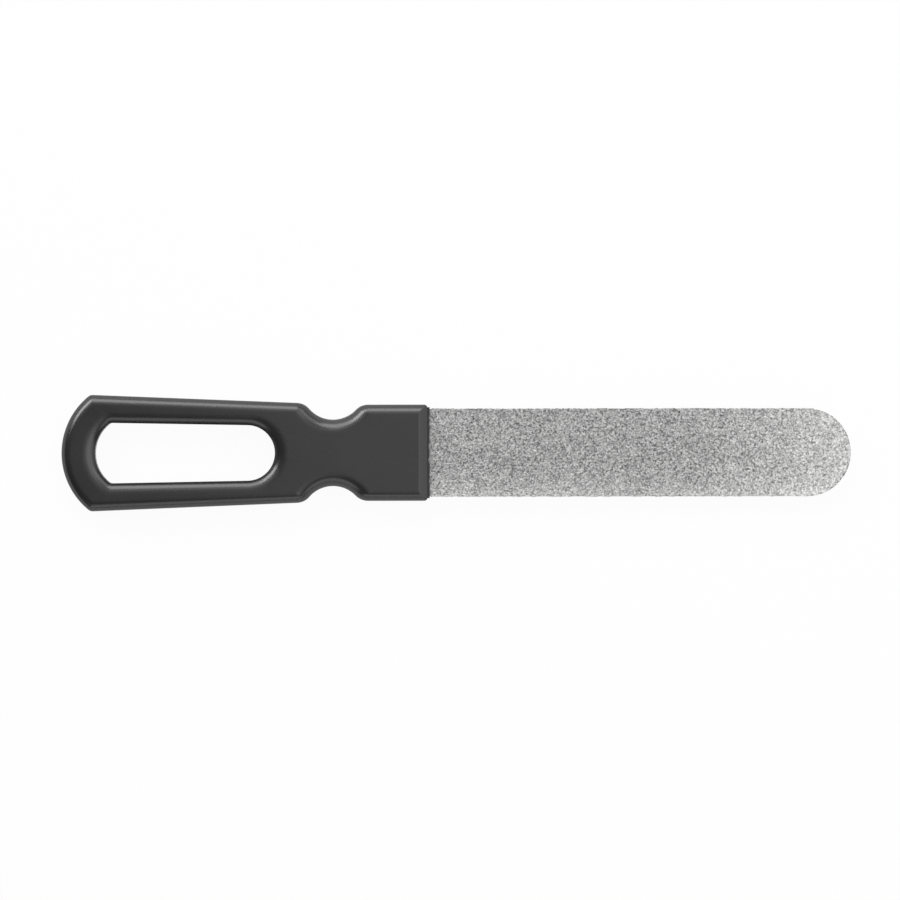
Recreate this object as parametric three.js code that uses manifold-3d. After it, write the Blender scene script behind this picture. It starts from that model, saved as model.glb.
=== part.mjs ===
// Nail file: a steel blade with a coat of grit on both faces and a plastic handle moulded round its tang.
// Millimetres. The blade points along +X, +Z is square to its faces, and the file lies on the plane Z = 0.
// The origin is the middle of the overall length.
import * as THREE from "three";
import { mergeVertices } from "three/addons/utils/BufferGeometryUtils.js";
import Module from "manifold-3d";

const wasm = await Module();
wasm.setup();

// Blade
const BLADE_REACH = 95.5; // from the front of the handle to the tip
const BLADE_WIDTH = 20;
const BLADE_THICKNESS = 1.2;
const COAT_THICKNESS = 0.25;
const COAT_MARGIN = 0.1; // bare steel left round the edge of a coat

// Handle in plan
const HANDLE_LENGTH = 82.5;
const TAIL_WIDTH = 26.3;
const TAIL_BULGE = 6.5; // how far the tail's arc stands out behind its corners
const TAIL_CORNER_RADIUS = 1.6;
const NOTCHED_WIDTH = 21.9; // width that the sides would narrow to at the notches
const FRONT_CHEEK = 0.85; // plastic beside the blade at the front
const FRONT_CORNER_RADIUS = 0.7;

// Finger notches, one on each side
const NECK_WIDTH = 15;
const NOTCH_RADIUS = 7.1;
const NOTCH_FROM_FRONT = 21.3;
const REAR_SHOULDER_RADIUS = 3.8;
const FRONT_SHOULDER_RADIUS = 4;

// Slot in the handle
const SLOT_FROM_NOTCH = 13.1; // from the front of the slot to the middle of the notches
const SLOT_TAIL_WIDTH = 13.6;
const SLOT_FRONT_WIDTH = 12.5;
const SLOT_TAIL_BULGE = 3.5;
const SLOT_CORNER_RADIUS = 1.2;
const TAIL_WALL = 7.7;

// Handle in section. A rounded edge is a quarter of an ellipse, with a width in plan and a depth.
const HANDLE_THICKNESS = 6;
const OUTER_ROUNDING = 2.4;
const OUTER_DEPTH = 2.2;
const SLOT_ROUNDING = 2.7;
const SLOT_DEPTH = 1.6;
const SLOT_END_SCOOP = 0.15; // how much wider the slot's rounding is at its two ends, as a share
const NOTCH_FLARE = 0.8; // how much wider the outer rounding is in the notches
const SHOULDER_CREASE = 1.2; // how fast a shoulder sharpens towards the face, as a share of the inset
const FRONT_BEVEL = 1.9; // the front edge is a chamfer instead, with a width in plan and a depth
const FRONT_BEVEL_DEPTH = 1.3;
const LEAST_FLAT = 0.3; // flat left between two rounded edges
const LIP_LENGTH = 0.5; // thin lip that closes the mould on the blade
const LIP_WRAP = 0.25;

// Tang and the pegs through it
const TANG_WALL = 3; // plastic beside the tang at the neck
const TANG_END_WALL = 4.6; // plastic between the tang and the slot
const TANG_CORNER_RADIUS = 1.5;
const SHOULDER_DEPTH = 2.5; // how far the full width of the blade goes into the handle
const TANG_HOLE_RADIUS = 1.6;
const TANG_HOLE_PITCH = 13;
const TANG_HOLE_SETBACK = 6;
const FIT_CLEARANCE = 0.05; // between the plastic and the steel or the grit

// Steps along each arc of an outline, and up each rounded edge
const ARC_STEPS = 6;
const LONG_ARC_STEPS = 18;
const ROUNDING_STEPS = 5;

const tailX = -(HANDLE_LENGTH + BLADE_REACH) / 2;
const frontX = tailX + HANDLE_LENGTH;
const tipX = frontX + BLADE_REACH;
const middleZ = HANDLE_THICKNESS / 2;
const bladeHalf = BLADE_WIDTH / 2;
const frontHalf = bladeHalf + FRONT_CHEEK;
const tailHalf = TAIL_WIDTH / 2;
const neckHalf = NECK_WIDTH / 2;
const notchX = frontX - NOTCH_FROM_FRONT;
const slotTailX = tailX + TAIL_WALL;
const slotFrontX = notchX - SLOT_FROM_NOTCH;
const tangHalf = neckHalf - TANG_WALL;
const tangEndX = slotFrontX + TANG_END_WALL;

const vec = (x, y) => new THREE.Vector2(x, y);

// Radius of the arc that bulges out by the given amount over a chord of the given half width.
const bulgeRadius = (half, bulge) => (half * half + bulge * bulge) / (2 * bulge);

const tailRadius = bulgeRadius(tailHalf, TAIL_BULGE);
const tailCentre = vec(tailX + tailRadius, 0);
const notchCentre = vec(notchX, neckHalf + NOTCH_RADIUS);
const slotTailHalf = SLOT_TAIL_WIDTH / 2;
const slotTailRadius = bulgeRadius(slotTailHalf, SLOT_TAIL_BULGE);
const slotTailCentre = vec(slotTailX + slotTailRadius, 0);
const slotFrontRadius = SLOT_FRONT_WIDTH / 2;
const slotFrontCentre = vec(slotFrontX - slotFrontRadius, 0);

// Straight side of the handle, from the tail's corner towards the notch.
const sideStart = vec(tailX + TAIL_BULGE, tailHalf);
const sideWay = vec(notchX, NOTCHED_WIDTH / 2).sub(sideStart).normalize();
const sideOut = vec(-sideWay.y, sideWay.x);
const slotSideStart = vec(slotTailX + SLOT_TAIL_BULGE, slotTailHalf);

// A rounded edge is limited by the arm it is on and by the thickness of the handle.
const frontArm = sideOut.dot(sideStart.clone().sub(slotFrontCentre)) - slotFrontRadius;
const tailArm = sideOut.dot(sideStart.clone().sub(slotSideStart));
const roundingRoom = Math.min(frontArm, tailArm, TAIL_WALL) - LEAST_FLAT;
const roundingShare = Math.min(1, roundingRoom / (OUTER_ROUNDING + SLOT_ROUNDING));
const mostDepth = (HANDLE_THICKNESS - LEAST_FLAT) / 2;
const outerRounding = { width: OUTER_ROUNDING * roundingShare, depth: Math.min(OUTER_DEPTH, mostDepth) };
const slotRounding = { width: SLOT_ROUNDING * roundingShare, depth: Math.min(SLOT_DEPTH, mostDepth) };
const bevelDepth = Math.min(FRONT_BEVEL_DEPTH, outerRounding.depth);

// Where a line meets a circle: end -1 is the first meeting along the line, end 1 the last.
function lineMeetsCircle(point, way, centre, radius, end) {
  const offset = point.clone().sub(centre);
  const along = offset.dot(way);
  const reach = Math.sqrt(along * along - offset.lengthSq() + radius * radius);
  return point.clone().addScaledVector(way, end * reach - along);
}

const angleTo = (from, to) => Math.atan2(to.y - from.y, to.x - from.x);
const angleOf = (way) => Math.atan2(way.y, way.x);

// Points of an arc, both ends included.
function arcPoints(centre, radius, from, to, steps) {
  const points = [];
  for (let step = 0; step <= steps; step += 1) {
    const angle = from + ((to - from) * step) / steps;
    points.push(vec(centre.x + radius * Math.cos(angle), centre.y + radius * Math.sin(angle)));
  }
  return points;
}

// A half outline and its mirror image as one closed clockwise loop, with points on the centre line kept once.
function mirrored(half) {
  const onCentreLine = 1e-6;
  const offCentre = half.filter((point) => point.y > onCentreLine);
  return [...half, ...offCentre.map((point) => vec(point.x, -point.y)).reverse()];
}

// Outline of the handle moved inwards by inset, at a depth below a face. Outer corners stay a little round.
function handleOutline(inset, depth) {
  const cornerRest = 0.08;
  const depthOf = (radius) => Math.max(radius, inset + cornerRest);
  const creasedDepthOf = (radius) => depthOf(radius - SHOULDER_CREASE * inset);
  const sideAt = (distance) => sideStart.clone().addScaledVector(sideOut, -distance);
  const notchRadius = NOTCH_RADIUS + NOTCH_FLARE * Math.sqrt(inset / outerRounding.width);
  const bevelledX = frontX - FRONT_BEVEL * (1 - Math.min(1, depth / bevelDepth));

  const tailDepth = depthOf(TAIL_CORNER_RADIUS);
  const tailCorner = lineMeetsCircle(sideAt(tailDepth), sideWay, tailCentre, tailRadius - tailDepth, -1);
  const rearDepth = creasedDepthOf(REAR_SHOULDER_RADIUS);
  const rearShoulder = lineMeetsCircle(sideAt(rearDepth), sideWay, notchCentre, notchRadius + rearDepth, -1);
  const foreDepth = creasedDepthOf(FRONT_SHOULDER_RADIUS);
  const foreLine = vec(notchX, frontHalf - foreDepth);
  const foreShoulder = lineMeetsCircle(foreLine, vec(1, 0), notchCentre, notchRadius + foreDepth, 1);
  const frontDepth = depthOf(FRONT_CORNER_RADIUS);
  const frontCorner = vec(bevelledX + inset - frontDepth, frontHalf - frontDepth);

  const tailTurn = angleTo(tailCentre, tailCorner);
  const sideTurn = angleOf(sideOut);
  const rearTurn = angleTo(rearShoulder, notchCentre);
  const foreTurn = angleTo(foreShoulder, notchCentre);
  const quarter = Math.PI / 2;
  return mirrored([
    ...arcPoints(tailCentre, tailRadius - inset, Math.PI, tailTurn, LONG_ARC_STEPS).slice(0, -1),
    ...arcPoints(tailCorner, tailDepth - inset, tailTurn, sideTurn, ARC_STEPS),
    ...arcPoints(rearShoulder, rearDepth - inset, sideTurn, rearTurn, ARC_STEPS),
    ...arcPoints(notchCentre, notchRadius + inset, rearTurn - Math.PI, foreTurn - Math.PI, LONG_ARC_STEPS)
      .slice(1, -1),
    ...arcPoints(foreShoulder, foreDepth - inset, foreTurn, quarter, ARC_STEPS),
    ...arcPoints(frontCorner, frontDepth - inset, quarter, 0, ARC_STEPS),
  ]);
}

// Outline of the slot moved outwards by inset, into the plastic, and a little further at its two ends.
function slotOutline(inset) {
  const scoop = vec(SLOT_END_SCOOP * inset, 0);
  const tailAt = slotTailCentre.clone().sub(scoop);
  const frontAt = slotFrontCentre.clone().add(scoop);
  const startAt = slotSideStart.clone().sub(scoop);
  const way = frontAt.clone().sub(startAt);
  way.rotateAround(vec(0, 0), Math.asin(slotFrontRadius / way.length())).normalize();
  const out = vec(-way.y, way.x);
  const cornerLine = startAt.addScaledVector(out, -SLOT_CORNER_RADIUS);
  const corner = lineMeetsCircle(cornerLine, way, tailAt, slotTailRadius - SLOT_CORNER_RADIUS, -1);
  const tailTurn = angleTo(tailAt, corner);
  const sideTurn = angleOf(out);
  return mirrored([
    ...arcPoints(tailAt, slotTailRadius + inset, Math.PI, tailTurn, ARC_STEPS).slice(0, -1),
    ...arcPoints(corner, SLOT_CORNER_RADIUS + inset, tailTurn, sideTurn, ARC_STEPS),
    ...arcPoints(frontAt, slotFrontRadius + inset, sideTurn, 0, LONG_ARC_STEPS),
  ]);
}

// Loops up one wall from the bottom face to the top face, with both edges rounded.
function wallLoops(outline, rounding) {
  const lower = [];
  for (let step = 0; step <= ROUNDING_STEPS; step += 1) {
    const turn = (Math.PI / 2) * (step / ROUNDING_STEPS);
    const height = rounding.depth * (1 - Math.cos(turn));
    const points = outline(rounding.width * (1 - Math.sin(turn)), height);
    lower.push({ points, height });
  }
  const upper = lower.map(({ points, height }) => ({ points, height: HANDLE_THICKNESS - height }));
  return [...lower, ...upper.reverse()];
}

// Skin of the handle: the outer wall, the wall of the slot, and the two flat faces between them.
function handleSkin() {
  const outerWall = wallLoops((inset, depth) => handleOutline(inset, depth).reverse(), outerRounding);
  const slotWall = wallLoops(slotOutline, slotRounding);
  const positions = [];
  const triangles = [];
  const starts = [];
  for (const wall of [outerWall, slotWall]) {
    const start = positions.length / 3;
    const count = wall[0].points.length;
    starts.push(start);
    for (const { points, height } of wall) {
      points.forEach((point) => positions.push(point.x, point.y, height));
    }
    for (let level = 0; level < wall.length - 1; level += 1) {
      for (let i = 0; i < count; i += 1) {
        const low = start + level * count + i;
        const lowNext = start + level * count + ((i + 1) % count);
        triangles.push(low, lowNext, lowNext + count, low, lowNext + count, low + count);
      }
    }
  }
  const contour = outerWall[0].points;
  const hole = slotWall[0].points;
  const contourTop = (outerWall.length - 1) * contour.length;
  const holeTop = (slotWall.length - 1) * hole.length;
  for (const corners of THREE.ShapeUtils.triangulateShape(contour, [hole])) {
    const inHole = corners.map((corner) => corner >= contour.length);
    const bottom = corners.map((corner, i) => (inHole[i] ? starts[1] + corner - contour.length : corner));
    const top = bottom.map((corner, i) => corner + (inHole[i] ? holeTop : contourTop));
    triangles.push(bottom[2], bottom[1], bottom[0], ...top);
  }
  const skin = new THREE.BufferGeometry();
  skin.setAttribute("position", new THREE.Float32BufferAttribute(positions, 3));
  skin.setIndex(triangles);
  return skin;
}

// Plan of the steel with everything grown outwards by the given amount.
function bladeShape(grow) {
  const half = bladeHalf + grow;
  const tang = tangHalf + grow;
  const shoulderX = frontX - SHOULDER_DEPTH - grow;
  const corner = TANG_CORNER_RADIUS + grow;
  const cornerX = tangEndX + TANG_CORNER_RADIUS;
  const shape = new THREE.Shape();
  shape.moveTo(shoulderX, -half);
  shape.absarc(tipX - bladeHalf, 0, half, -Math.PI / 2, Math.PI / 2, false);
  shape.lineTo(shoulderX, half);
  shape.lineTo(shoulderX, tang);
  shape.absarc(cornerX, tang - corner, corner, Math.PI / 2, Math.PI, false);
  shape.absarc(cornerX, corner - tang, corner, Math.PI, Math.PI * 1.5, false);
  shape.lineTo(shoulderX, -tang);
  shape.closePath();
  const firstHoleX = tangEndX + TANG_HOLE_SETBACK;
  for (const holeX of [firstHoleX, firstHoleX + TANG_HOLE_PITCH]) {
    const hole = new THREE.Path();
    hole.absarc(holeX, 0, TANG_HOLE_RADIUS - grow, 0, Math.PI * 2, true);
    shape.holes.push(hole);
  }
  return shape;
}

// Plan of a coat of grit, from the lip of the handle to the tip.
function coatShape() {
  const half = bladeHalf - COAT_MARGIN;
  const heelX = frontX + LIP_LENGTH + FIT_CLEARANCE;
  const shape = new THREE.Shape();
  shape.moveTo(heelX, -half);
  shape.absarc(tipX - bladeHalf, 0, half, -Math.PI / 2, Math.PI / 2, false);
  shape.lineTo(heelX, half);
  shape.closePath();
  return shape;
}

// Plate of the given plan between two heights.
function plate(shape, bottom, top) {
  const settings = { depth: top - bottom, bevelEnabled: false, curveSegments: LONG_ARC_STEPS };
  return new THREE.ExtrudeGeometry(shape, settings).translate(0, 0, bottom);
}

function solidOf(geometry) {
  const bare = geometry.clone();
  bare.deleteAttribute("normal");
  bare.deleteAttribute("uv");
  const merged = mergeVertices(bare);
  const vertProperties = merged.getAttribute("position").array;
  const triVerts = Uint32Array.from(merged.getIndex().array);
  return new wasm.Manifold(new wasm.Mesh({ numProp: 3, vertProperties, triVerts }));
}

function geometryOf(solid) {
  const { vertProperties, triVerts } = solid.getMesh();
  const geometry = new THREE.BufferGeometry();
  geometry.setAttribute("position", new THREE.BufferAttribute(vertProperties, 3));
  geometry.setIndex(new THREE.BufferAttribute(triVerts, 1));
  geometry.computeVertexNormals();
  return geometry;
}

const steelBottom = middleZ - BLADE_THICKNESS / 2;
const steelTop = middleZ + BLADE_THICKNESS / 2;

// The lip starts inside the front of the handle, so that the two make one moulding.
const lipHeight = BLADE_THICKNESS + 2 * (COAT_THICKNESS + LIP_WRAP);
const lip = new THREE.BoxGeometry(LIP_LENGTH + SHOULDER_DEPTH, BLADE_WIDTH + 2 * LIP_WRAP, lipHeight);
lip.translate(frontX + (LIP_LENGTH - SHOULDER_DEPTH) / 2, 0, middleZ);

// Room for the steel. The plastic that stays in its two holes makes the pegs that hold the tang.
const room = plate(bladeShape(FIT_CLEARANCE), steelBottom - FIT_CLEARANCE, steelTop + FIT_CLEARANCE);
const handle = solidOf(handleSkin()).add(solidOf(lip)).subtract(solidOf(room));

const object = new THREE.Group();
object.name = "nail_file";

function addPiece(name, geometry, color, roughness, metalness) {
  const piece = new THREE.Mesh(geometry, new THREE.MeshStandardMaterial({ color, roughness, metalness }));
  piece.name = name;
  object.add(piece);
}

addPiece("steel_blade", plate(bladeShape(0), steelBottom, steelTop), 0xa9aaac, 0.35, 1);
const upperCoat = plate(coatShape(), steelTop, steelTop + COAT_THICKNESS);
const lowerCoat = plate(coatShape(), steelBottom - COAT_THICKNESS, steelBottom);
addPiece("upper_grit_coat", upperCoat, 0xa6a6a6, 0.55, 0.8);
addPiece("lower_grit_coat", lowerCoat, 0xa6a6a6, 0.55, 0.8);
addPiece("handle", geometryOf(handle), 0x303031, 0.45, 0);

export default object;
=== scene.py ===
import math
import bmesh
import bpy
from mathutils import Matrix, Vector, noise


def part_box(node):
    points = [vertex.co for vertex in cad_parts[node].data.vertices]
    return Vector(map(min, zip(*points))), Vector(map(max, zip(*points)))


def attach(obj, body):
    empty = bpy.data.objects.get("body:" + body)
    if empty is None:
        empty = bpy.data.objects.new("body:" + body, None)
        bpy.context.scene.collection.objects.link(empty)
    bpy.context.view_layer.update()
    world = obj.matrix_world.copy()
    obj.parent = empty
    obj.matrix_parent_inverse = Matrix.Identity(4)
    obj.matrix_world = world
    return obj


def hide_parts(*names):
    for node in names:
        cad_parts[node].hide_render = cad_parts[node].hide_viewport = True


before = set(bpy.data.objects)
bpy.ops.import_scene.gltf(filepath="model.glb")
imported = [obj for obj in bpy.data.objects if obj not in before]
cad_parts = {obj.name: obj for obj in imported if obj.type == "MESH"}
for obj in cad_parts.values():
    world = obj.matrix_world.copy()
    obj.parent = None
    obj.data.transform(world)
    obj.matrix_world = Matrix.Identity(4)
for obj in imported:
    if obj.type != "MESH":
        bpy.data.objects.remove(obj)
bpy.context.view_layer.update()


# Steel blade. A strip of stainless steel stamped to a round tip, with its sharp edges eased.
# A narrower tang runs back into the handle, and two holes key it in the plastic moulded round it.
mm = 0.001
MERGE_DISTANCE = 0.001 * mm
blade_low, blade_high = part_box("steel_blade")
BLADE_HALF = blade_high.y
BLADE_THICKNESS = blade_high.z - blade_low.z
TIP_CENTRE = blade_high.x - BLADE_HALF
GRAIN_OVERHANG = 0.11 * mm
STEEL_HALF = BLADE_HALF - GRAIN_OVERHANG
FRONT_X = -6.5 * mm
SHOULDER_X = FRONT_X - 2.5 * mm
TANG_HALF = 4.5 * mm
TANG_CORNER = 1.5 * mm
TANG_HOLE = 1.6 * mm
TANG_HOLE_SETBACKS = (6 * mm, 19 * mm)
BLADE_EASING = 0.12 * mm
ROLLED_GRAIN = (60, 60, 2600)
SCRATCH_TURNS = (0.31, -0.87)
SCRATCH_STRETCH = (0.03, 1, 1)


def line_to(bm, corner, x, y):
    """Draws an edge from a vertex to a new one at the same height."""
    end = bmesh.ops.extrude_vert_indiv(bm, verts=[corner])["verts"][0]
    end.co = (x, y, corner.co.z)
    return end


def arc_about(bm, corner, centre, turn, steps):
    """Sweeps a vertex round a centre by an angle, and returns the end of the arc."""
    swept = bmesh.ops.spin(bm, geom=[corner], cent=(centre[0], centre[1], corner.co.z),
                           axis=(0, 0, 1), angle=turn, steps=steps)
    return swept["geom_last"][0]


def add_node(tree, kind, inputs=None, **settings):
    """Adds a shader node. An input is given a value or is linked to another node's socket."""
    new = tree.nodes.new(kind)
    for name, value in settings.items():
        setattr(new, name, value)
    for name, value in (inputs or {}).items():
        if isinstance(value, bpy.types.NodeSocket):
            tree.links.new(value, new.inputs[name])
        else:
            new.inputs[name].default_value = value
    return new


def only_verts(geometry):
    """The vertices among the new geometry that an operator returns."""
    return [part for part in geometry if isinstance(part, bmesh.types.BMVert)]


def place_piece(bm, name, material, replaced):
    """Turns a finished bmesh into a piece of the file that stands for one CAD node."""
    mesh = bpy.data.meshes.new(name)
    bm.to_mesh(mesh)
    bm.free()
    mesh.materials.append(material)
    piece = bpy.data.objects.new(name, mesh)
    bpy.context.scene.collection.objects.link(piece)
    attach(piece, "root")
    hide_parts(replaced)
    return piece


# Hairline scratches in two directions, as a mask that is 1 in a scratch.
scratches = bpy.data.node_groups.new("Hairline scratches", "ShaderNodeTree")
scratches.interface.new_socket("Density", in_out="INPUT", socket_type="NodeSocketFloat")
scratches.interface.new_socket("Mask", in_out="OUTPUT", socket_type="NodeSocketFloat")
group_in = scratches.nodes.new("NodeGroupInput")
group_out = scratches.nodes.new("NodeGroupOutput")
here = add_node(scratches, "ShaderNodeTexCoord").outputs["Object"]
streaks = []
for turn in SCRATCH_TURNS:
    turned = add_node(scratches, "ShaderNodeMapping", {"Vector": here, "Rotation": (0, 0, turn)})
    drawn = add_node(scratches, "ShaderNodeVectorMath", {0: turned.outputs[0], 1: SCRATCH_STRETCH},
                     operation="MULTIPLY")
    field = add_node(scratches, "ShaderNodeTexNoise",
                     {"Vector": drawn.outputs[0], "Scale": group_in.outputs["Density"], "Detail": 1})
    streaks.append(add_node(scratches, "ShaderNodeMapRange",
                            {"Value": field.outputs[0], "From Min": 0.66, "From Max": 0.74}))
either = add_node(scratches, "ShaderNodeMath",
                  {0: streaks[0].outputs[0], 1: streaks[1].outputs[0]}, operation="MAXIMUM")
scratches.links.new(either.outputs[0], group_out.inputs["Mask"])

steel = bpy.data.materials.new("Stamped stainless steel")
steel.use_nodes = True
tree = steel.node_tree
shader = tree.nodes["Principled BSDF"]
here = add_node(tree, "ShaderNodeTexCoord").outputs["Object"]
along = add_node(tree, "ShaderNodeMapping", {"Vector": here, "Scale": ROLLED_GRAIN})
grain = add_node(tree, "ShaderNodeTexNoise", {"Vector": along.outputs[0], "Scale": 1, "Detail": 3})
scratch = add_node(tree, "ShaderNodeGroup", {"Density": 2500}, node_tree=scratches)
tone = add_node(tree, "ShaderNodeMix", {"Factor": grain.outputs[0], "A": (0.34, 0.34, 0.35, 1),
                                        "B": (0.50, 0.50, 0.51, 1)}, data_type="RGBA")
sheen = add_node(tree, "ShaderNodeMapRange", {"Value": grain.outputs[0], "To Min": 0.28, "To Max": 0.46})
relief = add_node(tree, "ShaderNodeMath", {0: grain.outputs[0], 1: scratch.outputs[0]},
                  operation="SUBTRACT")
bump = add_node(tree, "ShaderNodeBump", {"Height": relief.outputs[0], "Strength": 0.4,
                                         "Distance": 0.02 * mm})
tree.links.new(tone.outputs["Result"], shader.inputs["Base Color"])
tree.links.new(sheen.outputs[0], shader.inputs["Roughness"])
tree.links.new(bump.outputs[0], shader.inputs["Normal"])
shader.inputs["Metallic"].default_value = 1

bm = bmesh.new()
end = bm.verts.new((blade_low.x, 0, blade_low.z))
end = line_to(bm, end, blade_low.x, TANG_HALF - TANG_CORNER)
end = arc_about(bm, end, (blade_low.x + TANG_CORNER, TANG_HALF - TANG_CORNER), -math.pi / 2, steps=8)
end = line_to(bm, end, SHOULDER_X, TANG_HALF)
end = line_to(bm, end, SHOULDER_X, STEEL_HALF)
end = line_to(bm, end, TIP_CENTRE, STEEL_HALF)
arc_about(bm, end, (TIP_CENTRE, 0), -math.pi / 2, steps=48)
bmesh.ops.mirror(bm, geom=bm.verts[:] + bm.edges[:], axis="Y", merge_dist=MERGE_DISTANCE)
for setback in TANG_HOLE_SETBACKS:
    middle = Matrix.Translation((blade_low.x + setback, 0, blade_low.z))
    bmesh.ops.create_circle(bm, segments=32, radius=TANG_HOLE, matrix=middle)
bmesh.ops.triangle_fill(bm, use_beauty=True, edges=bm.edges[:])
raised = bmesh.ops.extrude_face_region(bm, geom=bm.faces[:])["geom"]
bmesh.ops.translate(bm, verts=only_verts(raised), vec=(0, 0, BLADE_THICKNESS))
bmesh.ops.recalc_face_normals(bm, faces=bm.faces[:])
sharp_rims = [edge for edge in bm.edges if edge.calc_face_angle() > math.radians(60)
              and edge.verts[0].co.z == edge.verts[1].co.z]
bmesh.ops.bevel(bm, geom=sharp_rims, offset=BLADE_EASING, segments=3, profile=0.5, affect="EDGES",
                material=-1)
blade = place_piece(bm, "blade", steel, "steel_blade")
blade.data.shade_smooth()
blade.data.set_sharp_from_angle(angle=math.radians(35))


# Grit coats. Angular grains are bonded to each face of the blade in a thin plating of nickel, and stand at
# their own heights and leanings. Use has rubbed them flatter towards the tip. Their colour is lighter
# towards the tip and along one edge. Painted shade darkens it at the coat's rim and in the crevices between
# chips, and each chip's random tone also stands in for painted glints.
coat_low, coat_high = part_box("upper_grit_coat")
COAT_THICKNESS = coat_high.z - coat_low.z
COAT_HEEL = coat_low.x
EDGE_REACH = 0.85
EDGE_RETREAT = 0.25
EDGE_COARSENESS = 0.6
EDGE_FALLOFF = 8
TIP_EVENNESS = 0.75
COAT_HALF = BLADE_HALF - EDGE_REACH * GRAIN_OVERHANG
GRID_STEP = 0.15 * mm
GRID_JITTER = 0.45
JITTER_SEED = 7.3
GRAIN_PITCH = 0.36 * mm
COAT_SEED = 10 * mm
TONE_SEED = Vector((11, 5, 3))
CELL_MIDDLE = Vector((0.5, 0.5, 0.5))
BOND_SHARE = 0.35
HEIGHT_SPREAD = 0.35
LEAN_SPREAD = 0.8
CREVICE_WIDTH = 0.22
CREVICE_DEPTH = 0.5
TIPWARD_LENGTH = 48 * mm
RUBBED_FLATTER = 0.75
RIM_WIDTH = 0.6 * mm
RIM_AT_SIDES = 0.25
RIM_DROP = 0.5
RIM_SHADE = 0.25
TIP_LIGHTENING = 0.28
SIDE_LIGHTENING = 0.17
MIDDLE_TONE = 0.565
TONE_SPREAD = 0.19
TIP_TONE_SPREAD = 0.08

grit = bpy.data.materials.new("Nickel-bonded grit")
grit.use_nodes = True
tree = grit.node_tree
shader = tree.nodes["Principled BSDF"]
here = add_node(tree, "ShaderNodeTexCoord").outputs["Object"]
# The attribute brings each grain's own tone, with painted shade at the coat's rim.
own_tone_and_rim_shade = add_node(tree, "ShaderNodeAttribute", attribute_name="grain_tone_and_rim_shade").outputs["Fac"]
fine = add_node(tree, "ShaderNodeTexNoise", {"Vector": here, "Scale": 9000, "Detail": 2})
broad = add_node(tree, "ShaderNodeTexNoise", {"Vector": here, "Scale": 260, "Detail": 3})
chips = add_node(tree, "ShaderNodeTexVoronoi", {"Vector": here, "Scale": 1 / GRAIN_PITCH})
chip = add_node(tree, "ShaderNodeSeparateColor", {0: chips.outputs["Color"]})
# Painted glints and painted shade: each chip takes its own random tone, which also stands in for glints,
# and the crevices between chips are darkened where shade falls.
painted_glint = add_node(tree, "ShaderNodeMapRange", {"Value": chip.outputs["Red"], "To Min": -0.11,
                                              "To Max": 0.11})
painted_crevice_shade = add_node(tree, "ShaderNodeMapRange", {"Value": chips.outputs["Distance"], "From Min": 0.35,
                                            "From Max": 0.75, "To Min": 0, "To Max": -0.27})
painted_chip_light_and_shade = add_node(tree, "ShaderNodeMath", {0: painted_glint.outputs[0], 1: painted_crevice_shade.outputs[0]}, operation="ADD")
spread = add_node(tree, "ShaderNodeMath", {0: painted_chip_light_and_shade.outputs[0], 1: own_tone_and_rim_shade}, operation="ADD",
                  use_clamp=True)
tone = add_node(tree, "ShaderNodeMix", {"Factor": spread.outputs[0], "A": (0.065, 0.065, 0.065, 1),
                                        "B": (0.84, 0.84, 0.835, 1)}, data_type="RGBA")
shade = add_node(tree, "ShaderNodeMapRange", {"Value": broad.outputs[0], "To Min": 0.88, "To Max": 1.12})
mottled = add_node(tree, "ShaderNodeVectorMath", {0: tone.outputs["Result"], "Scale": shade.outputs[0]},
                   operation="SCALE")
sheen = add_node(tree, "ShaderNodeMapRange", {"Value": own_tone_and_rim_shade, "To Min": 0.68, "To Max": 0.56})
bump = add_node(tree, "ShaderNodeBump", {"Height": fine.outputs[0], "Strength": 0.5,
                                         "Distance": 0.03 * mm})
tree.links.new(mottled.outputs[0], shader.inputs["Base Color"])
tree.links.new(sheen.outputs[0], shader.inputs["Roughness"])
tree.links.new(bump.outputs[0], shader.inputs["Normal"])
shader.inputs["Metallic"].default_value = 0.5


def rounded_end(x, y):
    """Draws the square end of a grid in to a half disc, like the round tip of the blade."""
    if x <= 0:
        return x, y
    return (x * math.sqrt(1 - y * y / (2 * COAT_HALF * COAT_HALF)),
            y * math.sqrt(1 - x * x / (2 * COAT_HALF * COAT_HALF)))


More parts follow.
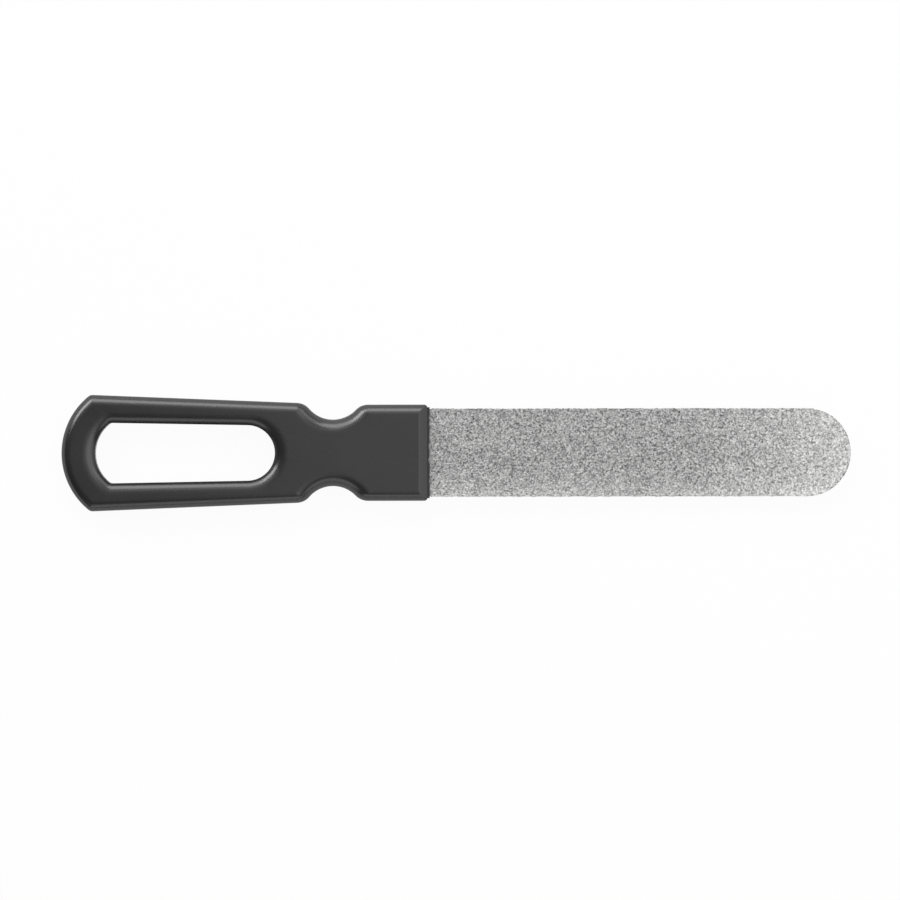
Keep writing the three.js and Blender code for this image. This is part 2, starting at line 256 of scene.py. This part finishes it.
def grit_coat(name, node, floor_z, outward):
    """One coat of grit on the plane floor_z. The grains stand out to the side given by outward, 1 or -1."""
    bm = bmesh.new()
    straight = TIP_CENTRE - COAT_HEEL
    length = straight + COAT_HALF
    bmesh.ops.create_grid(bm, x_segments=round(length / GRID_STEP),
                          y_segments=round(2 * COAT_HALF / GRID_STEP), size=1)
    # This attribute holds each grain's own tone, a lightening towards the tip and along one edge, and
    # painted shade at the coat's rim.
    tones_and_rim_shade = bm.verts.layers.float.new("grain_tone_and_rim_shade")
    for vert in bm.verts:
        x, y = rounded_end((vert.co.x + 1) / 2 * length - straight, vert.co.y * COAT_HALF)
        outness = Vector((max(0, x), y, 0)) / COAT_HALF
        # Spots are measured in grains. Each grain is one cell, with a height, a lean and a tone of its own.
        spot = Vector((TIP_CENTRE + x, y, outward * COAT_SEED)) / GRAIN_PITCH
        if vert.is_boundary:
            edge_grain = noise.voronoi(EDGE_COARSENESS * spot)[1][0]
            ragged = (EDGE_REACH + EDGE_RETREAT) * noise.cell(edge_grain) - EDGE_RETREAT
            overhang = ragged * (1 - TIP_EVENNESS * outness.x) * GRAIN_OVERHANG
            spot += outness * outness.length ** EDGE_FALLOFF * overhang / GRAIN_PITCH
        else:
            jitter = noise.cell_vector(spot * JITTER_SEED) - CELL_MIDDLE
            spot += jitter * GRID_JITTER * GRID_STEP / GRAIN_PITCH
        distances, centres = noise.voronoi(spot)
        grain_centre = centres[0]
        lean = noise.cell_vector(grain_centre) - CELL_MIDDLE
        tilt = lean.to_2d().dot((spot - grain_centre).to_2d())
        tipward = max(0, min(1, (x - BLADE_HALF) / TIPWARD_LENGTH + 1))
        relief = 1 - RUBBED_FLATTER * tipward ** 2
        height = HEIGHT_SPREAD * noise.cell(grain_centre) + LEAN_SPREAD * tilt
        crevice = max(0, 1 - (distances[1] - distances[0]) / CREVICE_WIDTH)
        bare = max(0, min(1, 0.5 + relief * height))
        stand = BOND_SHARE + (1 - BOND_SHARE) * bare * (1 - CREVICE_DEPTH * relief * crevice)
        rim = max(0, 1 - (1 - outness.length) * COAT_HALF / RIM_WIDTH)
        rim *= RIM_AT_SIDES + (1 - RIM_AT_SIDES) * outness.x
        vert.co = (spot.x * GRAIN_PITCH, spot.y * GRAIN_PITCH,
                   floor_z + outward * COAT_THICKNESS * stand * (1 - RIM_DROP * rim * rim))
        side = max(0, -y / BLADE_HALF)
        # Painted shade darkens the coat near its rim, most round the tip. The colour is also lighter
        # towards the tip and along the near edge.
        lightening_and_rim_shade = TIP_LIGHTENING * tipward ** 1.8 + SIDE_LIGHTENING * side ** 3 - RIM_SHADE * rim * rim
        own = (TONE_SPREAD + TIP_TONE_SPREAD * tipward) * (noise.cell(grain_centre + TONE_SEED) - 0.5)
        vert[tones_and_rim_shade] = MIDDLE_TONE + own + lightening_and_rim_shade
    border = [edge for edge in bm.edges if edge.is_boundary]
    skirt = bmesh.ops.extrude_edge_only(bm, edges=border)["geom"]
    for vert in only_verts(skirt):
        vert.co.z = floor_z
    bmesh.ops.holes_fill(bm, edges=[edge for edge in bm.edges if edge.is_boundary])
    bmesh.ops.recalc_face_normals(bm, faces=bm.faces[:])
    place_piece(bm, name, grit, node)


grit_coat("upper_grit", "upper_grit_coat", blade_high.z, 1)
grit_coat("lower_grit", "lower_grit_coat", blade_low.z, -1)


# Handle. One black plastic moulding with well rounded edges, a long slot and a notch for a finger on each
# side. The slot's edge is chamfered and worn smooth by fingers, and painted shade darkens the slot's walls.
# A fine parting line runs round the middle, and a thin lip closes on the blade at the front, darkened with
# painted shade.
handle_low, handle_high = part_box("handle")
TAIL_X = handle_low.x
MIDDLE_Z = (handle_low.z + handle_high.z) / 2
HALF_THICKNESS = MIDDLE_Z - handle_low.z
TAIL_HALF = 13.15 * mm
TAIL_BULGE = 6.5 * mm
TAIL_CORNER = 1.6 * mm
NOTCHED_HALF = 10.95 * mm
FRONT_HALF = BLADE_HALF + 0.85 * mm
FRONT_CORNER = 0.7 * mm
FRONT_BEVEL = Vector((1.9 * mm, 1.3 * mm))
FRONT_CREASE = 0.92
NECK_HALF = 7.5 * mm
NOTCH_RADIUS = 7.1 * mm
NOTCH_FROM_FRONT = 21.3 * mm
NOTCH_FLARE = 0.8 * mm
REAR_SHOULDER = 3.8 * mm
FORE_SHOULDER = 4 * mm
SHOULDER_CREASE = 1.2
SLOT_FROM_NOTCH = 13.1 * mm
SLOT_TAIL_HALF = 6.8 * mm
SLOT_TAIL_BULGE = 3.5 * mm
SLOT_FRONT_RADIUS = 6.25 * mm
SLOT_CORNER = 1.2 * mm
TAIL_WALL = 7.7 * mm
OUTER_ROUNDING = Vector((2.4 * mm, 2.2 * mm))
SLOT_ROUNDING = Vector((2.7 * mm, 1.75 * mm))
SLOT_CHAMFER = math.radians(31.5)
SLOT_END_SCOOP = 0.15
ROUNDING_STEPS = 11
LEAST_CORNER = 0.05 * mm
PARTING_BEAD = 0.04 * mm
LIP_LENGTH = handle_high.x - FRONT_X
LIP_WRAP = 0.25 * mm
LIP_STRIPS = 60
LIP_RAGGEDNESS = 0.7 * mm
LIP_RETREAT = 0.12
LIP_UNEVENNESS = 0.7
SHADE_AND_GLOSS_REACH = math.radians(45)
SHADE_AND_GLOSS_FADE = math.radians(20)

plastic = bpy.data.materials.new("Black moulded plastic")
plastic.use_nodes = True
tree = plastic.node_tree
shader = tree.nodes["Principled BSDF"]
coordinates = add_node(tree, "ShaderNodeTexCoord")
here = coordinates.outputs["Object"]
skin = add_node(tree, "ShaderNodeTexNoise", {"Vector": here, "Scale": 5200, "Detail": 2})
flow = add_node(tree, "ShaderNodeTexNoise", {"Vector": here, "Scale": 110, "Detail": 4})
scratch = add_node(tree, "ShaderNodeGroup", {"Density": 1500}, node_tree=scratches)
facing = add_node(tree, "ShaderNodeSeparateXYZ", {0: coordinates.outputs["Normal"]})
level = add_node(tree, "ShaderNodeMath", {0: facing.outputs["Z"]}, operation="ABSOLUTE")
wall = add_node(tree, "ShaderNodeMapRange", {"Value": level.outputs[0], "From Min": 0.82,
                                             "From Max": 0.55})
flat = add_node(tree, "ShaderNodeMapRange", {"Value": level.outputs[0], "From Min": 0.975,
                                             "From Max": 0.998, "To Max": 0.12})
handled = add_node(tree, "ShaderNodeMix", {"Factor": flow.outputs[0], "A": (0.0095, 0.0095, 0.0099, 1),
                                           "B": (0.0145, 0.0145, 0.0149, 1)}, data_type="RGBA")
marked = add_node(tree, "ShaderNodeMix", {"Factor": scratch.outputs[0], "A": handled.outputs["Result"],
                                          "B": (0.016, 0.016, 0.0165, 1)}, data_type="RGBA")
# Painted shade: this attribute darkens the slot's walls and the lip, where shade falls, and also makes the
# slot's steep walls glossier.
shade_and_gloss = add_node(tree, "ShaderNodeAttribute", attribute_name="painted_shade_and_gloss").outputs["Fac"]
tone = add_node(tree, "ShaderNodeMix", {"Factor": shade_and_gloss, "A": marked.outputs["Result"],
                                        "B": (0.007, 0.007, 0.0073, 1)}, data_type="RGBA")
polish = add_node(tree, "ShaderNodeMapRange", {"Value": flow.outputs[0], "To Min": 0.2, "To Max": 0.28})
satin = add_node(tree, "ShaderNodeMath", {0: polish.outputs[0], 1: flat.outputs[0]}, operation="ADD")
dull = add_node(tree, "ShaderNodeMapRange", {"Value": shade_and_gloss, "To Min": 0.55, "To Max": 0.2})
sheen = add_node(tree, "ShaderNodeMix", {"Factor": wall.outputs[0], "A": satin.outputs[0],
                                         "B": dull.outputs[0]})
relief = add_node(tree, "ShaderNodeMath", {0: skin.outputs[0], 1: scratch.outputs[0]},
                  operation="SUBTRACT")
bump = add_node(tree, "ShaderNodeBump", {"Height": relief.outputs[0], "Strength": 0.25,
                                         "Distance": 0.02 * mm})
tree.links.new(tone.outputs["Result"], shader.inputs["Base Color"])
tree.links.new(sheen.outputs[0], shader.inputs["Roughness"])
tree.links.new(bump.outputs[0], shader.inputs["Normal"])
shader.inputs["IOR"].default_value = 1.59
shader.inputs["Specular IOR Level"].default_value = 0.6


def bulge_radius(half, bulge):
    """Radius of an arc that stands out by bulge over a chord of the given half width."""
    return (half * half + bulge * bulge) / (2 * bulge)


def meeting(start, way, centre, radius, end):
    """Where a line meets a circle: end is -1 for the first meeting along the line, 1 for the last."""
    offset = start - centre
    along = offset.dot(way)
    return start + way * (end * math.sqrt(along * along - offset.length_squared + radius * radius) - along)


def heading(way):
    """The angle of a direction, from the x axis."""
    return math.atan2(way.y, way.x)


tail_radius = bulge_radius(TAIL_HALF, TAIL_BULGE)
tail_centre = Vector((TAIL_X + tail_radius, 0))
notch_centre = Vector((FRONT_X - NOTCH_FROM_FRONT, NECK_HALF + NOTCH_RADIUS))
side_start = Vector((TAIL_X + TAIL_BULGE, TAIL_HALF))
side_way = (Vector((notch_centre.x, NOTCHED_HALF)) - side_start).normalized()
side_out = Vector((-side_way.y, side_way.x))
slot_x = TAIL_X + TAIL_WALL
slot_tail_radius = bulge_radius(SLOT_TAIL_HALF, SLOT_TAIL_BULGE)
slot_tail_centre = Vector((slot_x + slot_tail_radius, 0))
slot_front_centre = Vector((notch_centre.x - SLOT_FROM_NOTCH - SLOT_FRONT_RADIUS, 0))
slot_side_start = Vector((slot_x + SLOT_TAIL_BULGE, SLOT_TAIL_HALF))


def both_sides(bm, first):
    """Mirrors the half loop that starts at a vertex, and returns the edges of the whole loop."""
    half = [first]
    lines = []
    for vert in half:
        for edge in vert.link_edges:
            if edge not in lines:
                lines.append(edge)
                half.append(edge.other_vert(vert))
    before = set(bm.edges)
    bmesh.ops.mirror(bm, geom=list(set(half)) + lines, axis="Y", merge_dist=MERGE_DISTANCE)
    return lines + [edge for edge in bm.edges if edge not in before]


def outer_loop(bm, inset, height):
    """The handle's outline moved inwards by inset. Its outer corners always stay a little round."""
    tail_depth = max(TAIL_CORNER, inset + LEAST_CORNER)
    rear_depth = max(REAR_SHOULDER - SHOULDER_CREASE * inset, inset + LEAST_CORNER)
    fore_depth = max(FORE_SHOULDER - SHOULDER_CREASE * inset, inset + LEAST_CORNER)
    notch = NOTCH_RADIUS + NOTCH_FLARE * math.sqrt(inset / OUTER_ROUNDING.x)
    fall = min(1, (HALF_THICKNESS - height) / FRONT_BEVEL.y)
    front = FRONT_X - min(inset, PARTING_BEAD) - FRONT_BEVEL.x * (1 - fall ** FRONT_CREASE)
    front_round = max(FRONT_CORNER - inset, LEAST_CORNER)
    tail_corner = meeting(side_start - tail_depth * side_out, side_way, tail_centre,
                          tail_radius - tail_depth, -1)
    rear = meeting(side_start - rear_depth * side_out, side_way, notch_centre, notch + rear_depth, -1)
    fore = meeting(Vector((notch_centre.x, FRONT_HALF - fore_depth)), Vector((1, 0)), notch_centre,
                   notch + fore_depth, 1)
    tail_turn = heading(tail_corner - tail_centre)
    side_turn = heading(side_out)
    rear_turn = heading(notch_centre - rear)
    fore_turn = heading(notch_centre - fore)
    first = end = bm.verts.new((TAIL_X + inset, 0, height))
    end = arc_about(bm, end, tail_centre, tail_turn - math.pi, steps=36)
    end = arc_about(bm, end, tail_corner, side_turn - tail_turn, steps=8)
    end = line_to(bm, end, *(rear + (rear_depth - inset) * side_out))
    end = arc_about(bm, end, rear, rear_turn - side_turn, steps=10)
    end = arc_about(bm, end, notch_centre, fore_turn - rear_turn, steps=28)
    end = arc_about(bm, end, fore, math.pi / 2 - fore_turn, steps=10)
    end = line_to(bm, end, front - front_round, FRONT_HALF - inset)
    end = arc_about(bm, end, (front - front_round, FRONT_HALF - inset - front_round), -math.pi / 2, steps=8)
    line_to(bm, end, front, 0)
    return both_sides(bm, first)


def slot_loop(bm, inset, height):
    """The slot's outline moved out by inset into the plastic, and further at its two ends."""
    scoop = Vector((SLOT_END_SCOOP * inset, 0))
    tail = slot_tail_centre - scoop
    front = slot_front_centre + scoop
    start = slot_side_start - scoop
    way = front - start
    way.rotate(Matrix.Rotation(math.asin(SLOT_FRONT_RADIUS / way.length), 2))
    way.normalize()
    out = Vector((-way.y, way.x))
    corner = meeting(start - SLOT_CORNER * out, way, tail, slot_tail_radius - SLOT_CORNER, -1)
    tail_turn = heading(corner - tail)
    side_turn = heading(out)
    first = end = bm.verts.new((slot_x - scoop.x - inset, 0, height))
    end = arc_about(bm, end, tail, tail_turn - math.pi, steps=14)
    end = arc_about(bm, end, corner, side_turn - tail_turn, steps=8)
    end = line_to(bm, end, *(front + (SLOT_FRONT_RADIUS + inset) * out))
    arc_about(bm, end, front, -side_turn, steps=32)
    return both_sides(bm, first)


def upper_wall(bm, loop, rounding, chamfer, shade_and_gloss):
    """Skins one wall from the parting line up over its edge, and returns the loop at its top.

    The edge starts as a straight chamfer up to the turn given by chamfer, and is rounded from there.
    """
    # The attribute value given here marks painted shade on the slot's walls, which also makes them
    # glossier; it fades out as the edge turns past the reach.
    profile = [(0, 0, shade_and_gloss), (PARTING_BEAD, 2 * PARTING_BEAD, shade_and_gloss)]
    if chamfer:
        profile.append((PARTING_BEAD, HALF_THICKNESS - rounding.y * (1 - math.tan(chamfer / 2)), shade_and_gloss))
    for step in range(ROUNDING_STEPS + 1):
        turn = chamfer + (math.pi / 2 - chamfer) * step / ROUNDING_STEPS
        profile.append((PARTING_BEAD + rounding.x * (1 - math.cos(turn)),
                        HALF_THICKNESS - rounding.y * (1 - math.sin(turn)),
                        shade_and_gloss * max(0, min(1, (SHADE_AND_GLOSS_REACH - turn) / SHADE_AND_GLOSS_FADE))))
    last = None
    for inset, height, shade_and_gloss_here in profile:
        upper = loop(bm, inset, height)
        for edge in upper:
            edge.verts[0][painted_shade_and_gloss] = edge.verts[1][painted_shade_and_gloss] = shade_and_gloss_here
        if last:
            bmesh.ops.bridge_loops(bm, edges=last + upper)
        last = upper
    return last


bm = bmesh.new()
# A vertex attribute for the painted shade on the slot's walls and the lip, which also makes the walls
# glossier.
painted_shade_and_gloss = bm.verts.layers.float.new("painted_shade_and_gloss")
outer_rim = upper_wall(bm, outer_loop, OUTER_ROUNDING, chamfer=0, shade_and_gloss=0)
slot_rim = upper_wall(bm, slot_loop, SLOT_ROUNDING, chamfer=SLOT_CHAMFER, shade_and_gloss=1)
bmesh.ops.triangle_fill(bm, use_beauty=True, edges=outer_rim + slot_rim)
bmesh.ops.mirror(bm, geom=bm.verts[:] + bm.edges[:] + bm.faces[:], axis="Z", merge_dist=MERGE_DISTANCE)
lip_size = Matrix.Diagonal((2 * LIP_LENGTH, 2 * (BLADE_HALF + LIP_WRAP),
                            BLADE_THICKNESS + 2 * (COAT_THICKNESS + LIP_WRAP), 1))
lip = bmesh.ops.create_cube(bm, size=1, matrix=Matrix.Translation((FRONT_X, 0, 0)) @ lip_size)["verts"]
lip_edges = list({edge for vert in lip for edge in vert.link_edges})
across = [edge for edge in lip_edges if edge.verts[0].co.y != edge.verts[1].co.y]
strips = bmesh.ops.subdivide_edges(bm, edges=across, cuts=LIP_STRIPS, use_grid_fill=True)["geom_inner"]
for vert in only_verts(strips):
    # Painted shade darkens the lip, in the seam where it meets the blade.
    vert[painted_shade_and_gloss] = 1
    if vert.co.x > FRONT_X:
        unevenness = LIP_UNEVENNESS * noise.noise(vert.co / LIP_RAGGEDNESS)
        vert.co.x -= LIP_LENGTH * max(0, LIP_RETREAT + unevenness)
bmesh.ops.translate(bm, verts=bm.verts[:], vec=(0, 0, MIDDLE_Z))
bmesh.ops.recalc_face_normals(bm, faces=bm.faces[:])
handle = place_piece(bm, "loop_handle", plastic, "handle")
handle.data.shade_smooth()
handle.data.set_sharp_from_angle(angle=math.radians(40))
even = handle.modifiers.new("Even shading", "WEIGHTED_NORMAL")
even.keep_sharp = True


# Table, lights and camera. The file lies on a wide white table with a low backdrop round it, and the camera
# looks straight down on it. The brightest soft panels are on the far side, towards the tail, a long one
# lights the near side, and weak ones hang overhead.
TABLE_HALF = 6
TABLE_GAP = 0.02 * mm
BACKDROP_HEIGHT = 0.7
PAPER_GLOW = 0.95
ROOM_GLOW = 0.1
PHOTO_WIDTH = 202.95 * mm
SENSOR_WIDTH = 36
CAMERA_HEIGHT = 1.3
CAMERA_X = -1.41 * mm
CAMERA_Y = 0.6 * mm
CAMERA_TURN = math.radians(-0.08)

paper = bpy.data.materials.new("White table")
paper.use_nodes = True
tree = paper.node_tree
tree.nodes.remove(tree.nodes["Principled BSDF"])
ray = add_node(tree, "ShaderNodeLightPath")
mirrored = add_node(tree, "ShaderNodeMath", {0: ray.outputs["Is Glossy Ray"],
                                             1: ray.outputs["Is Transmission Ray"]}, operation="MAXIMUM")
seen = add_node(tree, "ShaderNodeMath", {0: ray.outputs["Is Camera Ray"], 1: mirrored.outputs[0]},
                operation="MAXIMUM")
share = add_node(tree, "ShaderNodeMath", {0: seen.outputs[0], 1: PAPER_GLOW}, operation="MULTIPLY")
matt = add_node(tree, "ShaderNodeBsdfDiffuse", {"Color": (0.8, 0.8, 0.8, 1)})
glow = add_node(tree, "ShaderNodeEmission", {"Color": (1, 1, 1, 1), "Strength": 1})
both = add_node(tree, "ShaderNodeMixShader", {0: share.outputs[0], 1: matt.outputs[0], 2: glow.outputs[0]})
tree.links.new(both.outputs[0], tree.nodes["Material Output"].inputs["Surface"])

bm = bmesh.new()
bmesh.ops.create_grid(bm, x_segments=1, y_segments=1, size=TABLE_HALF,
                      matrix=Matrix.Translation((0, 0, -TABLE_GAP)))
backdrop = bmesh.ops.extrude_edge_only(bm, edges=bm.edges[:])["geom"]
bmesh.ops.translate(bm, verts=only_verts(backdrop), vec=(0, 0, BACKDROP_HEIGHT))
table_mesh = bpy.data.meshes.new("table")
bm.to_mesh(table_mesh)
bm.free()
table_mesh.materials.append(paper)
table = bpy.data.objects.new("table", table_mesh)
bpy.context.scene.collection.objects.link(table)

world = bpy.data.worlds.new("Studio")
bpy.context.scene.world = world
world.use_nodes = True
world.node_tree.nodes["Background"].inputs["Color"].default_value = (1, 1, 1, 1)
world.node_tree.nodes["Background"].inputs["Strength"].default_value = ROOM_GLOW


def soft_panel(name, place, width, depth, glow, aim=(0, 0, 0)):
    """A rectangular soft light that faces the point aim and looks as bright as glow, where 1 is white."""
    light = bpy.data.lights.new(name, "AREA")
    light.shape = "RECTANGLE"
    light.size = width
    light.size_y = depth
    light.energy = glow * math.pi * width * depth
    panel = bpy.data.objects.new(name, light)
    panel.location = place
    panel.rotation_euler = (Vector(aim) - Vector(place)).to_track_quat("-Z", "Y").to_euler()
    panel.visible_camera = False
    bpy.context.scene.collection.objects.link(panel)


soft_panel("far_panel", (-0.128, 0.725, 0.425), width=0.7, depth=0.5, glow=3.6)
soft_panel("high_panel", (-0.217, 0.409, 0.713), width=0.6, depth=0.25, glow=0.9)
soft_panel("corner_panel", (-0.583, 0.472, 0.415), width=0.44, depth=0.38, glow=6.3)
soft_panel("side_panel", (0.443, 0.567, 0.45), width=0.55, depth=0.42, glow=1.7)
soft_panel("tip_panel", (0.585, 0.05, 0.545), width=0.7, depth=0.95, glow=1)
soft_panel("near_panel", (0.06, -0.667, 0.375), width=1.3, depth=0.4, glow=1.1, aim=(0.06, 0, 0))
soft_panel("roof_panel", (0.15, 0.02, 0.25), width=0.41, depth=0.36, glow=0.52, aim=(0.15, 0.02, 0))
soft_panel("ceiling_panel", (0, 0, 0.9), width=1.6, depth=1.6, glow=0.05)

camera = bpy.data.cameras.new("Camera")
camera.sensor_width = SENSOR_WIDTH
camera.lens = SENSOR_WIDTH * (CAMERA_HEIGHT - MIDDLE_Z) / PHOTO_WIDTH
camera.clip_start = 0.01
viewer = bpy.data.objects.new("Camera", camera)
viewer.location = (CAMERA_X, CAMERA_Y, CAMERA_HEIGHT)
viewer.rotation_euler.z = CAMERA_TURN
bpy.context.scene.collection.objects.link(viewer)
bpy.context.scene.camera = viewer
bpy.context.scene.view_settings.view_transform = "Standard"
